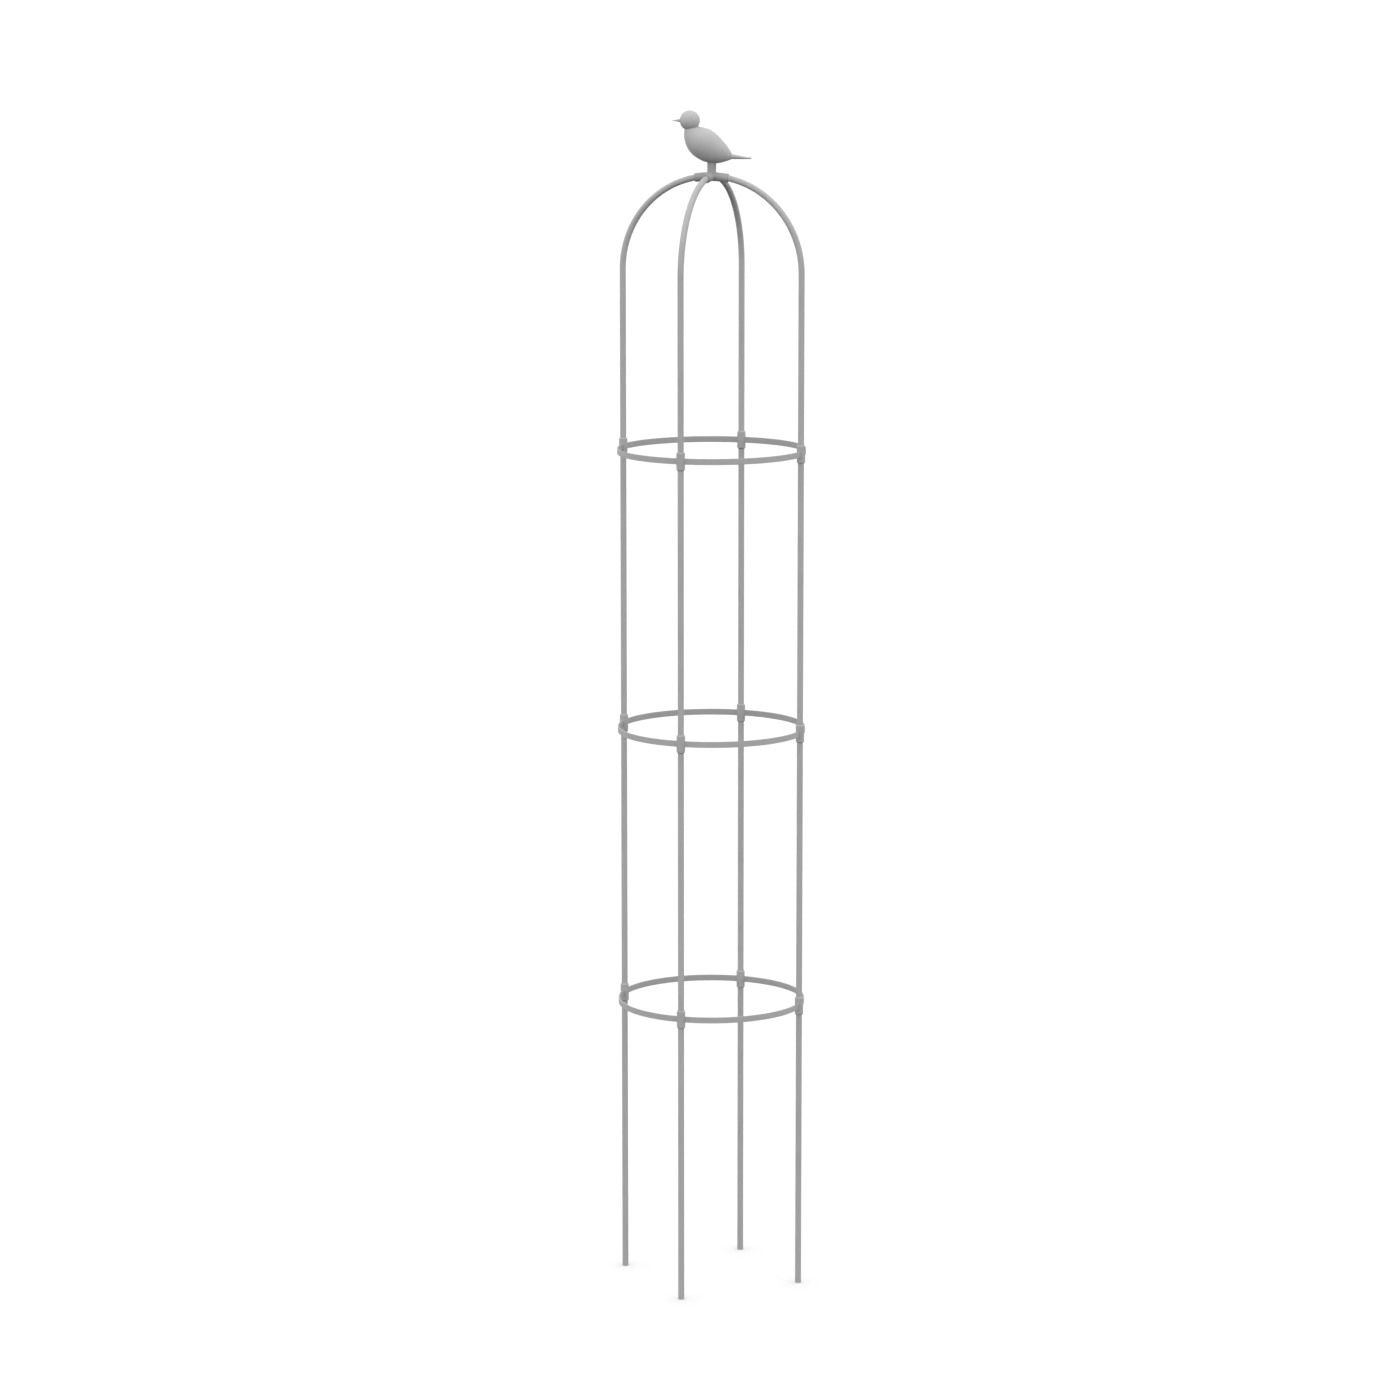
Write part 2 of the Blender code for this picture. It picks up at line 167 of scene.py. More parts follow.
def powder_coat(name, grey, roughness):
    """Matt powder coat: a faint mottle, an uneven sheen and a fine orange peel."""
    coat = bpy.data.materials.new(name)
    coat.use_nodes = True
    nodes, links = coat.node_tree.nodes, coat.node_tree.links
    shader = nodes["Principled BSDF"]
    shader.inputs["Specular IOR Level"].default_value = COAT_GLOSS
    place = nodes.new("ShaderNodeTexCoord")

    mottle = new_noise(coat, place, MOTTLE_SCALE, MOTTLE_DETAIL)
    shades = (grey * (1 - MOTTLE_SPREAD), grey * (1 + MOTTLE_SPREAD))
    shade = new_range(coat, mottle.outputs["Fac"], MOTTLE_SPAN, shades)
    links.new(shade, shader.inputs["Base Color"])

    patches = new_noise(coat, place, SHEEN_SCALE, SHEEN_DETAIL)
    sheens = (roughness - SHEEN_SPREAD, roughness + SHEEN_SPREAD)
    sheen = new_range(coat, patches.outputs["Fac"], SHEEN_SPAN, sheens)
    links.new(sheen, shader.inputs["Roughness"])

    peel = new_noise(coat, place, PEEL_SCALE, PEEL_DETAIL)
    relief = nodes.new("ShaderNodeBump")
    relief.inputs["Strength"].default_value = PEEL_STRENGTH
    relief.inputs["Distance"].default_value = PEEL_DEPTH
    links.new(peel.outputs["Fac"], relief.inputs["Height"])
    links.new(relief.outputs["Normal"], shader.inputs["Normal"])
    return coat


def finish_piece(piece, node, coat):
    """Fix a modelled piece's place in its mesh, smooth it, and let it stand for its CAD node."""
    fix_place(piece)
    bpy.ops.object.shade_smooth_by_angle(angle=SMOOTH_ANGLE)
    even = piece.modifiers.new("even", "WEIGHTED_NORMAL")
    even.mode = "FACE_AREA"
    even.weight = SMOOTH_WEIGHT
    even.keep_sharp = True
    bpy.ops.object.modifier_apply(modifier=even.name)
    piece.data.materials.clear()
    piece.data.materials.append(coat)
    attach(piece, "root")
    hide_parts(node)


def set_round(first, names, nodes, coat):
    """Finish a first piece and its copies on the other sides, a quarter turn at a time."""
    fix_place(first)
    pieces = [first]
    for turn, name in enumerate(names[1:], start=1):
        twin = copy_of(first)
        twin.name = twin.data.name = name
        twin.rotation_euler.z = QUARTER_TURN * turn
        pieces.append(twin)
    for piece, node in zip(pieces, nodes):
        finish_piece(piece, node, coat)


def sawn_tube(name, foot, top):
    """Straight open tube on the line of the right-hand post."""
    bpy.ops.object.select_all(action="DESELECT")
    bpy.ops.mesh.primitive_cylinder_add(
        vertices=TUBE_SIDES,
        radius=TUBE_RADIUS,
        depth=top - foot,
        location=(POST_CIRCLE_RADIUS, 0, (foot + top) / 2),
    )
    tube = name_new(name)
    bpy.ops.object.mode_set(mode="EDIT")
    pick_faces(is_level_end)
    bpy.ops.mesh.inset(thickness=TUBE_WALL)
    bpy.ops.mesh.bridge_edge_loops()
    ease_folds(SQUARE_FOLD, RIM_EASE)
    bpy.ops.object.mode_set(mode="OBJECT")
    return tube


tube_coat = powder_coat("tube_powder_coat", TUBE_GREY, TUBE_ROUGHNESS)
for kind in ("lower_leg", "middle_post", "upper_post"):
    foot, top = (corner.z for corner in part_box(f"{kind}_right"))
    names = [f"{kind}_tube_{side}" for side in SIDES]
    nodes = [f"{kind}_{side}" for side in SIDES]
    set_round(sawn_tube(names[0], foot, top), names, nodes, tube_coat)


# Sleeves: one at each crossing of a post and a ring, twelve in all.
# Steel, turned to 18 mm across and bored for the tubes, both ends chamfered. The rings' bands
# are welded to its flanks, and the tubes from below and above meet inside it.
SLEEVE_RADIUS = 0.0090
SLEEVE_CHAMFER = 0.0018
SLEEVE_BORE_RADIUS = 0.0068
SLEEVE_SIDES = 56
CHAMFER_FOLD = math.radians(30)
SLEEVE_EASE = 0.00015
SLEEVE_GREY = 0.345
SLEEVE_ROUGHNESS = 0.60
STAGES = ("lower", "middle", "upper")


def turned_sleeve(name, foot, top):
    """Sleeve on the right-hand post: its ends chamfered, then faced in and bored through."""
    bpy.ops.object.select_all(action="DESELECT")
    bpy.ops.mesh.primitive_cylinder_add(
        vertices=SLEEVE_SIDES,
        radius=SLEEVE_RADIUS,
        depth=top - foot,
        location=(POST_CIRCLE_RADIUS, 0, (foot + top) / 2),
    )
    sleeve = name_new(name)
    bpy.ops.object.mode_set(mode="EDIT")
    pick_folds(SQUARE_FOLD)
    bpy.ops.mesh.bevel(offset=SLEEVE_CHAMFER, segments=1, affect="EDGES")
    pick_faces(is_level_end)
    bpy.ops.mesh.inset(thickness=SLEEVE_RADIUS - SLEEVE_CHAMFER - SLEEVE_BORE_RADIUS)
    bpy.ops.mesh.bridge_edge_loops()
    ease_folds(CHAMFER_FOLD, SLEEVE_EASE)
    bpy.ops.object.mode_set(mode="OBJECT")
    return sleeve


sleeve_coat = powder_coat("sleeve_powder_coat", SLEEVE_GREY, SLEEVE_ROUGHNESS)
for stage in STAGES:
    foot, top = (corner.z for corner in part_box(f"{stage}_sleeve_right"))
    names = [f"{stage}_collar_{side}" for side in SIDES]
    nodes = [f"{stage}_sleeve_{side}" for side in SIDES]
    set_round(turned_sleeve(names[0], foot, top), names, nodes, sleeve_coat)


# Ring bands: four quarter circles to a ring, three rings.
# Flat steel strip, 12.7 by 2.5 mm with eased corners, stood on edge and rolled to a quarter
# circle. Each end is welded all round to a sleeve's flank with a small fillet, and dressed.
BAND_THICKNESS = 0.0025
BAND_CORNER = 0.0005
ROUND_SEGMENTS = 3
BAND_STEPS = 40
BAND_INTO_SLEEVE = 0.0008
WELD_FILLET = ((0.00000, 0.00080), (0.00025, 0.00040), (0.00060, 0.00013), (0.00120, 0.00000))
BAND_GREY = 0.350
BAND_ROUGHNESS = 0.56
# painted shade on the rings' inner sides: the share of the base colour left there, and the share of
# the band's thickness it fades over
BAND_INNER_SHADE = 0.93
BAND_SHADE_FADE = 0.4


def face_outwards():
    """In edit mode, turn every face of the closed mesh outwards."""
    bpy.ops.mesh.select_all(action="SELECT")
    bpy.ops.mesh.normals_make_consistent(inside=False)


def carry_band_end(stations, middle, height):
    """In edit mode, draw the band's end face out through stations, each an angle and a weld leg."""
    for (angle, leg), (next_angle, next_leg) in zip(stations, stations[1:]):
        thinner = (BAND_THICKNESS + 2 * next_leg) / (BAND_THICKNESS + 2 * leg)
        lower = (height + 2 * next_leg) / (height + 2 * leg)
        across, along = math.cos(next_angle), math.sin(next_angle)
        here = (POST_CIRCLE_RADIUS * across, POST_CIRCLE_RADIUS * along, middle)
        bpy.ops.mesh.extrude_region_move()
        bpy.ops.transform.rotate(
            value=angle - next_angle, orient_axis="Z", center_override=(0, 0, 0)
        )
        bpy.ops.transform.resize(value=(thinner, thinner, lower), center_override=here)


def rolled_band(name, foot, top):
    """Quarter band from the right-hand post towards the back one, with a weld at each end."""
    middle, height = (foot + top) / 2, top - foot
    flank = 2 * math.asin(SLEEVE_RADIUS / (2 * POST_CIRCLE_RADIUS))
    inside = flank - BAND_INTO_SLEEVE / POST_CIRCLE_RADIUS
    rising = [(inside, WELD_FILLET[0][1])]
    rising += [(flank + out / POST_CIRCLE_RADIUS, leg) for out, leg in WELD_FILLET]
    falling = [(QUARTER_TURN - angle, leg) for angle, leg in reversed(rising)]

    bpy.ops.object.select_all(action="DESELECT")
    bpy.ops.mesh.primitive_plane_add(
        size=1.0, location=(POST_CIRCLE_RADIUS, 0, middle), rotation=(QUARTER_TURN, 0, 0)
    )
    band = name_new(name)
    first_leg = rising[0][1]
    band.scale = (BAND_THICKNESS + 2 * first_leg, height + 2 * first_leg, 1)
    fix_place(band)
    bpy.ops.object.mode_set(mode="EDIT")
    bpy.ops.mesh.select_all(action="SELECT")
    bpy.ops.mesh.bevel(offset=BAND_CORNER, segments=ROUND_SEGMENTS, affect="VERTICES")
    bpy.ops.mesh.select_all(action="SELECT")
    bpy.ops.transform.rotate(value=-inside, orient_axis="Z", center_override=(0, 0, 0))
    carry_band_end(rising, middle, height)
    bpy.ops.mesh.spin(
        steps=BAND_STEPS,
        angle=rising[-1][0] - falling[0][0],
        center=(0, 0, middle),
        axis=(0, 0, 1),
    )
    carry_band_end(falling, middle, height)
    face_outwards()
    bpy.ops.object.mode_set(mode="OBJECT")
    return band


def shade_the_inside(coat, share):
    """Painted shade: a ring's inner side gets a little darker base colour, standing in for the
    shade that falls there.
    """
    nodes, links = coat.node_tree.nodes, coat.node_tree.links
    shader = nodes["Principled BSDF"]
    place = nodes.new("ShaderNodeTexCoord")
    level = nodes.new("ShaderNodeVectorMath")
    level.operation = "MULTIPLY"
    level.inputs[1].default_value = (1.0, 1.0, 0.0)
    links.new(place.outputs["Object"], level.inputs[0])
    distance = nodes.new("ShaderNodeVectorMath")
    distance.operation = "LENGTH"
    links.new(level.outputs["Vector"], distance.inputs[0])
    inner = POST_CIRCLE_RADIUS - BAND_THICKNESS * BAND_SHADE_FADE
    outer = POST_CIRCLE_RADIUS + BAND_THICKNESS * BAND_SHADE_FADE
    # painted shade: the base colour darkens towards the ring's inner side
    inner_shade = new_range(coat, distance.outputs["Value"], (inner, outer), (share, 1.0))
    shaded_color = nodes.new("ShaderNodeMath")
    shaded_color.operation = "MULTIPLY"
    links.new(shader.inputs["Base Color"].links[0].from_socket, shaded_color.inputs[0])
    links.new(inner_shade, shaded_color.inputs[1])
    links.new(shaded_color.outputs["Value"], shader.inputs["Base Color"])


band_coat = powder_coat("band_powder_coat", BAND_GREY, BAND_ROUGHNESS)
# painted shade on the inner sides of the rings
shade_the_inside(band_coat, BAND_INNER_SHADE)
QUARTERS = [f"{side}_{following}" for side, following in zip(SIDES, SIDES[1:] + SIDES[:1])]
for stage in STAGES:
    foot, top = (corner.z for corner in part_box(f"{stage}_band_{QUARTERS[0]}"))
    names = [f"{stage}_strip_{quarter}" for quarter in QUARTERS]
    nodes = [f"{stage}_band_{quarter}" for quarter in QUARTERS]
    set_round(rolled_band(names[0], foot, top), names, nodes, band_coat)


# Arch tubes: four, from the upper sleeves up and over to the hub.
# The same drawn tube, straight at first and then bent through a quarter circle, its upper end
# pushed into one of the hub's arms.
CROWN_HEIGHT = 2.3992
SPRING_HEIGHT = CROWN_HEIGHT - POST_CIRCLE_RADIUS
BEND_STEPS = 44
TUBE_STOP = 0.0103


def is_cap(face):
    """Tell a many-sided end face from the faces with three or four sides along a piece."""
    return len(face.verts) > 4


def bent_tube(name, foot):
    """Open tube on the right-hand side: a filled circle drawn up, spun over and hollowed."""
    bpy.ops.object.select_all(action="DESELECT")
    bpy.ops.mesh.primitive_circle_add(
        vertices=TUBE_SIDES,
        radius=TUBE_RADIUS,
        fill_type="NGON",
        location=(POST_CIRCLE_RADIUS, 0, foot),
    )
    tube = name_new(name)
    sweep = QUARTER_TURN - math.asin(TUBE_STOP / POST_CIRCLE_RADIUS)
    bpy.ops.object.mode_set(mode="EDIT")
    bpy.ops.mesh.select_all(action="SELECT")
    bpy.ops.mesh.extrude_region_move(
        TRANSFORM_OT_translate={"value": (0, 0, SPRING_HEIGHT - foot)}
    )
    bpy.ops.mesh.spin(
        steps=BEND_STEPS, angle=sweep, center=(0, 0, SPRING_HEIGHT), axis=(0, 1, 0)
    )
    face_outwards()
    pick_faces(is_cap)
    bpy.ops.mesh.delete(type="ONLY_FACE")
    bpy.ops.object.mode_set(mode="OBJECT")
    wall = tube.modifiers.new("wall", "SOLIDIFY")
    wall.thickness = TUBE_WALL
    wall.offset = -1.0
    wall.use_even_offset = True
    bpy.ops.object.modifier_apply(modifier=wall.name)
    bpy.ops.object.mode_set(mode="EDIT")
    ease_folds(SQUARE_FOLD, RIM_EASE)
    bpy.ops.object.mode_set(mode="OBJECT")
    return tube


names = [f"arch_bend_{side}" for side in SIDES]
nodes = [f"arch_tube_{side}" for side in SIDES]
arch_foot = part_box(nodes[0])[0].z
set_round(bent_tube(names[0], arch_foot), names, nodes, tube_coat)


# Crown hub: one casting with four arms that follow the arches, and an upright stem.
# Cast iron or steel, 19 mm across the arms, the inner corners softened as on any casting. The
# arms' ends are squared, dressed and bored for the arch tubes, and the stem for the bird's pin.
HUB_ARM_RADIUS = 0.0093
HUB_ARM_BEND = 0.258
HUB_ARM_SAG = 0.00075
HUB_ARM_REACH = 0.0366
HUB_ARM_SPARE = 0.0030
ARM_END_LENGTH = 0.0030
ARM_END_COVER = 0.00002
ARM_END_STEPS = 2
ARM_RIM_EASE = 0.0007
HUB_SIDES = 56
HUB_STEPS = 22
SOCKET_RADIUS = 0.0068
SOCKET_FLOOR = 0.0100
SOCKET_STEPS = 14
MOUTH_CLEARANCE = 0.0060
STEM_RADIUS = 0.0094
STEM_REACH = 0.0279
PIN_HOLE_RADIUS = 0.0065
PIN_HOLE_FLOOR = 0.0030
CASTING_GRAIN = 0.00055
SOFTEN_SHARE = 0.5
SOFTEN_PASSES = 4
HUB_GREY = 0.308
HUB_ROUGHNESS = 0.62


def bent_bar(name, radius, first, last, steps, bend, crown):
    """Round bar on a bend of its own, between two reaches from the bend's crown towards -X."""
    start, end = (math.asin(reach / bend) for reach in (first, last))
    bpy.ops.object.select_all(action="DESELECT")
    bpy.ops.mesh.primitive_circle_add(
        vertices=HUB_SIDES,
        radius=radius,
        fill_type="NGON",
        location=(0, 0, crown),
        rotation=(0, QUARTER_TURN, 0),
    )
    bar = name_new(name)
    fix_place(bar)
    pivot = (0, 0, crown - bend)
    bpy.ops.object.mode_set(mode="EDIT")
    bpy.ops.mesh.select_all(action="SELECT")
    bpy.ops.transform.rotate(value=start, orient_axis="Y", center_override=pivot)
    bpy.ops.mesh.spin(steps=steps, angle=end - start, center=pivot, axis=(0, 1, 0))
    face_outwards()
    bpy.ops.object.mode_set(mode="OBJECT")
    return bar


def upright_bar(name, radius, foot, top):
    """Round bar on the column's axis."""
    bpy.ops.object.select_all(action="DESELECT")
    bpy.ops.mesh.primitive_cylinder_add(
        vertices=HUB_SIDES, radius=radius, depth=top - foot, location=(0, 0, (foot + top) / 2)
    )
    return name_new(name)


def combine(piece, tool, operation):
    """Join a tool to a piece, or cut it out, and throw the tool away."""
    modifier = piece.modifiers.new(operation.lower(), "BOOLEAN")
    modifier.operation = operation
    modifier.solver = "EXACT"
    modifier.object = tool
    bpy.context.view_layer.objects.active = piece
    bpy.ops.object.modifier_apply(modifier=modifier.name)
    bpy.data.objects.remove(tool, do_unlink=True)


def arm_pair(name, quarter_turns):
    """Two opposite arms as one bar, a little straighter than the arch and cast too long."""
    reach = HUB_ARM_REACH + HUB_ARM_SPARE
    crown = CROWN_HEIGHT - HUB_ARM_SAG
    bar = bent_bar(name, HUB_ARM_RADIUS, -reach, reach, HUB_STEPS, HUB_ARM_BEND, crown)
    bar.rotation_euler.z = QUARTER_TURN * quarter_turns
    return bar


def saw_arm(hub, quarter_turns):
    """Cut an arm off square, a little short of its reach, and close the cut with a flat face."""
    reach = HUB_ARM_REACH - ARM_END_LENGTH / 2
    lean = math.asin(reach / HUB_ARM_BEND)
    turn = QUARTER_TURN * quarter_turns
    across = Vector((math.cos(turn), math.sin(turn), 0))
    drop = HUB_ARM_SAG + HUB_ARM_BEND * (1 - math.cos(lean))
    cut = across * reach + Vector((0, 0, CROWN_HEIGHT - drop))
    outward = across * math.cos(lean) - Vector((0, 0, math.sin(lean)))
    take_up(hub)
    bpy.ops.object.mode_set(mode="EDIT")
    bpy.ops.mesh.select_all(action="SELECT")
    bpy.ops.mesh.bisect(plane_co=cut, plane_no=outward, use_fill=True, clear_outer=True)
    bpy.ops.object.mode_set(mode="OBJECT")


def round_rim(offset):
    """In edit mode, round the rim of the selected face."""
    bpy.ops.mesh.select_mode(type="EDGE")
    bpy.ops.mesh.region_to_loop()
    bpy.ops.mesh.bevel(offset=offset, segments=ROUND_SEGMENTS, affect="EDGES")


def dressed_end(quarter_turns):
    """Last few millimetres of an arm, its rim rounded by a file."""
    foot = HUB_ARM_REACH - ARM_END_LENGTH
    radius = HUB_ARM_RADIUS + ARM_END_COVER
    crown = CROWN_HEIGHT - HUB_ARM_SAG
    end = bent_bar("arm_end", radius, foot, HUB_ARM_REACH, ARM_END_STEPS, HUB_ARM_BEND, crown)
    middle = foot + ARM_END_LENGTH / 2
    bpy.ops.object.mode_set(mode="EDIT")
    pick_faces(lambda face: is_cap(face) and face.calc_center_median().x < -middle)
    round_rim(ARM_RIM_EASE)
    bpy.ops.object.mode_set(mode="OBJECT")
    end.rotation_euler.z = QUARTER_TURN * quarter_turns
    return end


hub = arm_pair("crown_casting", 0)
combine(hub, arm_pair("cross_arms", 1), "UNION")
stem_top = CROWN_HEIGHT + STEM_REACH + STEM_RADIUS
combine(hub, upright_bar("stem", STEM_RADIUS, CROWN_HEIGHT, stem_top), "UNION")
grain = hub.modifiers.new("grain", "REMESH")
grain.mode = "VOXEL"
grain.voxel_size = CASTING_GRAIN
bpy.ops.object.modifier_apply(modifier=grain.name)
soften = hub.modifiers.new("soften", "SMOOTH")
soften.factor = SOFTEN_SHARE
soften.iterations = SOFTEN_PASSES
bpy.ops.object.modifier_apply(modifier=soften.name)
for quarter in range(4):
    saw_arm(hub, quarter)
for quarter in range(4):
    combine(hub, dressed_end(quarter), "UNION")
    mouth = HUB_ARM_REACH + MOUTH_CLEARANCE
    arch = (POST_CIRCLE_RADIUS, CROWN_HEIGHT)
    socket = bent_bar("socket", SOCKET_RADIUS, SOCKET_FLOOR, mouth, SOCKET_STEPS, *arch)
    socket.rotation_euler.z = QUARTER_TURN * quarter
    combine(hub, socket, "DIFFERENCE")
hole_floor = CROWN_HEIGHT - HUB_ARM_RADIUS + PIN_HOLE_FLOOR
hole_top = stem_top + MOUTH_CLEARANCE
combine(hub, upright_bar("pin_hole", PIN_HOLE_RADIUS, hole_floor, hole_top), "DIFFERENCE")


# Bird: a plump body with a ball head, a slim beak and a flat tail, on a pin in the hub's stem.
# Cast metal, smooth, the head and beak cast on. The body swells and tapers along one bent line
# from neck to tail. The lengths below are behind and above the point where belly meets stem.
BIRD_HEADING = math.radians(18.9)
BELLY_HEIGHT = CROWN_HEIGHT + STEM_REACH
BODY_STATIONS = (
    (-0.0445, 0.0780, 0.0110),
    (-0.0430, 0.0675, 0.0193),
    (-0.0289, 0.0488, 0.0336),
    (-0.0098, 0.0352, 0.0323),
    (-0.0013, 0.0301, 0.0314),
    (0.0145, 0.0222, 0.0259),
    (0.0304, 0.0168, 0.0169),
    (0.0425, 0.0123, 0.0051),
)
BODY_SIDES = 72
BODY_STEPS = 40
BODY_NEARBY = 0.001
STEM_FIT = 0.0002
HEAD_RADIUS = 0.0213
HEAD_BEHIND = -0.0461
HEAD_ABOVE = 0.0892
HEAD_SEAT_FIT = 0.00015
HEAD_SEGMENTS = 64
HEAD_RINGS = 36
BIRD_GREY = 0.385
BIRD_ROUGHNESS = 0.55


def body_line(place):
    """Behind, above and girth at a place along the body, 0 to 1, on a clamped cubic B-spline."""
    degree = 3
    spans = len(BODY_STATIONS) - degree
    knots = [0] * degree + list(range(spans + 1)) + [spans] * degree
    at = place * spans
    span = min(int(at), spans - 1)
    points = [Vector(station) for station in BODY_STATIONS[span:span + degree + 1]]
    for level in range(1, degree + 1):
        for index in range(degree, level - 1, -1):
            low, high = knots[span + index], knots[span + index + degree + 1 - level]
            points[index] = points[index - 1].lerp(points[index], (at - low) / (high - low))
    return points[degree]


def body_lean(place):
    """Direction of the body's line at a place, as an angle from upright towards the tail."""
    before = body_line(max(place - BODY_NEARBY, 0))
    after = body_line(min(place + BODY_NEARBY, 1))
    return math.atan2(after.x - before.x, after.y - before.y)


def drawn_body(name):
    """Filled circle drawn out along the body's line, swelling and tapering as it goes."""
    behind, above, girth = body_line(0)
    lean = body_lean(0)
    bpy.ops.object.select_all(action="DESELECT")
    bpy.ops.mesh.primitive_circle_add(
        vertices=BODY_SIDES,
        radius=girth,
        fill_type="NGON",
        location=(behind, 0, above),
        rotation=(0, lean, 0),
    )
    body = name_new(name)
    fix_place(body)
    bpy.ops.object.mode_set(mode="EDIT")
    bpy.ops.mesh.select_all(action="SELECT")
    for step in range(1, BODY_STEPS + 1):
        place = step / BODY_STEPS
        next_behind, next_above, next_girth = body_line(place)
        next_lean = body_lean(place)
        move = (next_behind - behind, 0, next_above - above)
        centre = (next_behind, 0, next_above)
        swell = next_girth / girth
        bpy.ops.mesh.extrude_region_move(TRANSFORM_OT_translate={"value": move})
        bpy.ops.transform.rotate(value=lean - next_lean, orient_axis="Y", center_override=centre)
        bpy.ops.transform.resize(value=(swell, swell, swell), center_override=centre)
        behind, above, girth, lean = next_behind, next_above, next_girth, next_lean
    face_outwards()
    bpy.ops.object.mode_set(mode="OBJECT")
    return body


def ball(name, radius):
    """Ball at the head's place, its poles fore and aft."""
    bpy.ops.object.select_all(action="DESELECT")
    bpy.ops.mesh.primitive_uv_sphere_add(
        segments=HEAD_SEGMENTS,
        ring_count=HEAD_RINGS,
        radius=radius,
        location=(HEAD_BEHIND, 0, HEAD_ABOVE),
        rotation=(0, QUARTER_TURN, 0),
    )
    return name_new(name)


def perch(piece, node):
    """Turn a piece of the bird to its heading, set it on the stem and finish it."""
    fix_place(piece)
    piece.rotation_euler.z = BIRD_HEADING
    piece.location.z = BELLY_HEIGHT
    finish_piece(piece, node, bird_coat)


bird_coat = powder_coat("bird_powder_coat", BIRD_GREY, BIRD_ROUGHNESS)
body = drawn_body("songbird_body")
cope = copy_of(body)
take_up(cope)
bpy.ops.object.mode_set(mode="EDIT")
bpy.ops.mesh.select_all(action="SELECT")
bpy.ops.transform.shrink_fatten(value=STEM_FIT)
bpy.ops.object.mode_set(mode="OBJECT")
cope.rotation_euler.z = BIRD_HEADING
cope.location.z = BELLY_HEIGHT
combine(hub, cope, "DIFFERENCE")
hub_coat = powder_coat("hub_powder_coat", HUB_GREY, HUB_ROUGHNESS)
finish_piece(hub, "crown_hub", hub_coat)
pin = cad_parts["bird_spigot"]
pin.data.materials.clear()
pin.data.materials.append(hub_coat)


# Bird's beak and tail, both cast on.
# The beak is a slim cone with a rounded tip. The tail is drawn from inside the body's round end
# to a flat, wider end with a thicker lip, its underside level. Each root is cut to what it meets.
BEAK_ROOT_RADIUS = 0.0040
BEAK_TIP_RADIUS = 0.0005
BEAK_LENGTH = 0.0154
BEAK_SIDES = 36
BEAK_EASE = 0.0002
TAIL_STATIONS = (
    (-0.0045, 0.0006, 0.0099, 0.0099),
    (0.0035, 0.0009, 0.0104, 0.0101),
    (0.0095, 0.0004, 0.0112, 0.0090),
    (0.0180, -0.0004, 0.0126, 0.0074),
    (0.0265, -0.0013, 0.0141, 0.0057),
    (0.0352, -0.0020, 0.0157, 0.0040),
    (0.0378, -0.0020, 0.0161, 0.0040),
    (0.0396, -0.0016, 0.0165, 0.0047),
    (0.0411, -0.0017, 0.0163, 0.0042),
)
TAIL_SIDES = 64
TAIL_EASE = 0.0008


def slim_beak(name):
    """Cone that points forwards from inside the head, its tip rounded, cut to the ball."""
    root = HEAD_BEHIND - HEAD_RADIUS + BEAK_ROOT_RADIUS
    tip = HEAD_BEHIND - HEAD_RADIUS - BEAK_LENGTH
    bpy.ops.object.select_all(action="DESELECT")
    bpy.ops.mesh.primitive_cone_add(
        vertices=BEAK_SIDES,
        radius1=BEAK_ROOT_RADIUS,
        radius2=BEAK_TIP_RADIUS,
        depth=root - tip,
        location=((root + tip) / 2, 0, HEAD_ABOVE),
        rotation=(0, -QUARTER_TURN, 0),
    )
    beak = name_new(name)
    bpy.ops.object.mode_set(mode="EDIT")
    pick_faces(lambda face: is_cap(face) and face.calc_area() < 4 * BEAK_TIP_RADIUS**2)
    round_rim(BEAK_EASE)
    bpy.ops.object.mode_set(mode="OBJECT")
    combine(beak, ball("beak_seat", HEAD_RADIUS), "DIFFERENCE")
    return beak


def lipped_tail(name):
    """Oval drawn out from station to station, each behind, above, wide and thick."""
    end, level, _ = BODY_STATIONS[-1]
    behind, rise, width, thickness = TAIL_STATIONS[0]
    bpy.ops.object.select_all(action="DESELECT")
    bpy.ops.mesh.primitive_circle_add(
        vertices=TAIL_SIDES,
        radius=width / 2,
        fill_type="NGON",
        location=(end + behind, 0, level + rise),
        rotation=(0, QUARTER_TURN, 0),
    )
    tail = name_new(name)
    fix_place(tail)
    bpy.ops.object.mode_set(mode="EDIT")
    bpy.ops.mesh.select_all(action="SELECT")
    for next_behind, next_rise, next_width, next_thickness in TAIL_STATIONS[1:]:
        move = (next_behind - behind, 0, next_rise - rise)
        wider, thicker = next_width / width, next_thickness / thickness
        centre = (end + next_behind, 0, level + next_rise)
        bpy.ops.mesh.extrude_region_move(TRANSFORM_OT_translate={"value": move})
        bpy.ops.transform.resize(value=(1, wider, thicker), center_override=centre)
        behind, rise, width, thickness = next_behind, next_rise, next_width, next_thickness
    round_rim(TAIL_EASE)
    face_outwards()
    bpy.ops.object.mode_set(mode="OBJECT")
    combine(tail, copy_of(body), "DIFFERENCE")
    return tail


tail = lipped_tail("songbird_tail")
combine(body, ball("head_seat", HEAD_RADIUS + HEAD_SEAT_FIT), "DIFFERENCE")
perch(body, "bird_body")
perch(ball("songbird_head", HEAD_RADIUS), "bird_head")
perch(slim_beak("songbird_beak"), "bird_beak")
perch(tail, "bird_tail")


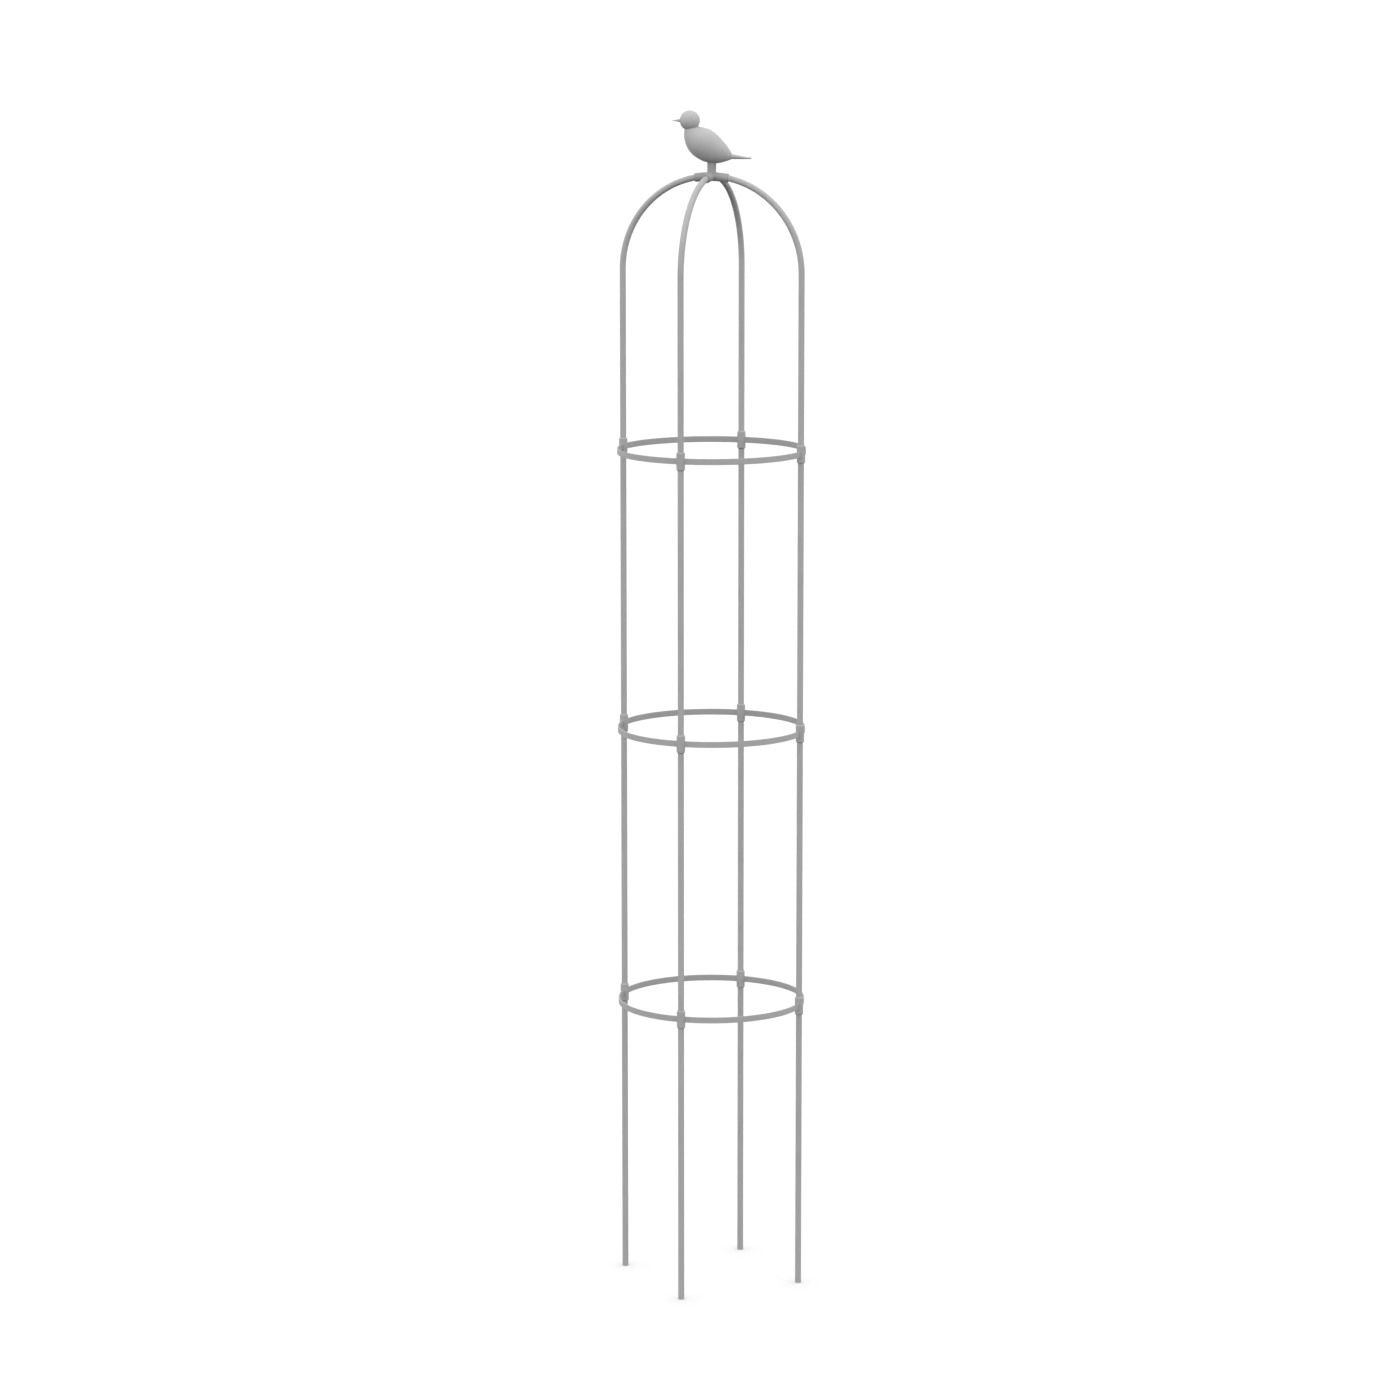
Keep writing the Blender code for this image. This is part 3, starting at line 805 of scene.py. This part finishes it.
# Floor, light and camera.
# A wide pale floor in a white studio. The light is soft, as in a tent of white cloth lit from
# outside, and a little weaker from the top. The camera has a long lens and looks slightly down.
FLOOR_SIZE = 400.0
FLOOR_HEIGHT = -0.0001
FLOOR_SEEN = 0.63
FLOOR_BOUNCE = 0.07
TENT_WALL_LIGHT = 2.00
TENT_TOP_LIGHT = 1.50
CAMERA_PLACE = (3.3400, -9.7802, 3.09765)
CAMERA_TURN = (math.radians(80.012), 0.0, math.radians(18.992))
CAMERA_LENS = 125.563
CAMERA_SENSOR = 36.0
CAMERA_REACH = 1000.0


def seen_by_eye(tree):
    """Light Path's camera, glossy and transmission rays as one factor."""
    path = tree.nodes.new("ShaderNodeLightPath")
    either = path.outputs["Is Camera Ray"]
    for ray in ("Is Glossy Ray", "Is Transmission Ray"):
        most = tree.nodes.new("ShaderNodeMath")
        most.operation = "MAXIMUM"
        tree.links.new(either, most.inputs[0])
        tree.links.new(path.outputs[ray], most.inputs[1])
        either = most.outputs["Value"]
    return either


bpy.ops.object.select_all(action="DESELECT")
bpy.ops.mesh.primitive_plane_add(size=FLOOR_SIZE, location=(0, 0, FLOOR_HEIGHT))
floor = bpy.context.object
floor.name = "studio_floor"
paint = bpy.data.materials.new("studio_floor_paint")
paint.use_nodes = True
tree = paint.node_tree
tree.nodes.clear()
mix = tree.nodes.new("ShaderNodeMixShader")
tree.links.new(seen_by_eye(tree), mix.inputs["Fac"])
for socket, grey in ((mix.inputs[1], FLOOR_BOUNCE), (mix.inputs[2], FLOOR_SEEN)):
    matt = tree.nodes.new("ShaderNodeBsdfDiffuse")
    matt.inputs["Color"].default_value = (grey, grey, grey, 1.0)
    tree.links.new(matt.outputs["BSDF"], socket)
surface = tree.nodes.new("ShaderNodeOutputMaterial")
tree.links.new(mix.outputs["Shader"], surface.inputs["Surface"])
floor.data.materials.append(paint)

world = bpy.data.worlds.new("white_studio")
bpy.context.scene.world = world
world.use_nodes = True
tree = world.node_tree
sky = tree.nodes["Background"]
sky.inputs["Color"].default_value = (1.0, 1.0, 1.0, 1.0)
aim = tree.nodes.new("ShaderNodeTexCoord")
split = tree.nodes.new("ShaderNodeSeparateXYZ")
tree.links.new(aim.outputs["Generated"], split.inputs["Vector"])
fade = tree.nodes.new("ShaderNodeMapRange")
fade.inputs["To Min"].default_value = TENT_WALL_LIGHT
fade.inputs["To Max"].default_value = TENT_TOP_LIGHT
tree.links.new(split.outputs["Z"], fade.inputs["Value"])
level = tree.nodes.new("ShaderNodeMix")
tree.links.new(fade.outputs["Result"], level.inputs["A"])
level.inputs["B"].default_value = 1.0
tree.links.new(seen_by_eye(tree), level.inputs["Factor"])
tree.links.new(level.outputs["Result"], sky.inputs["Strength"])

lens = bpy.data.cameras.new("studio_camera")
lens.lens = CAMERA_LENS
lens.sensor_width = CAMERA_SENSOR
lens.clip_end = CAMERA_REACH
camera = bpy.data.objects.new("studio_camera", lens)
camera.location = CAMERA_PLACE
camera.rotation_euler = CAMERA_TURN
bpy.context.scene.collection.objects.link(camera)
bpy.context.scene.camera = camera
bpy.context.scene.view_settings.view_transform = "Standard"
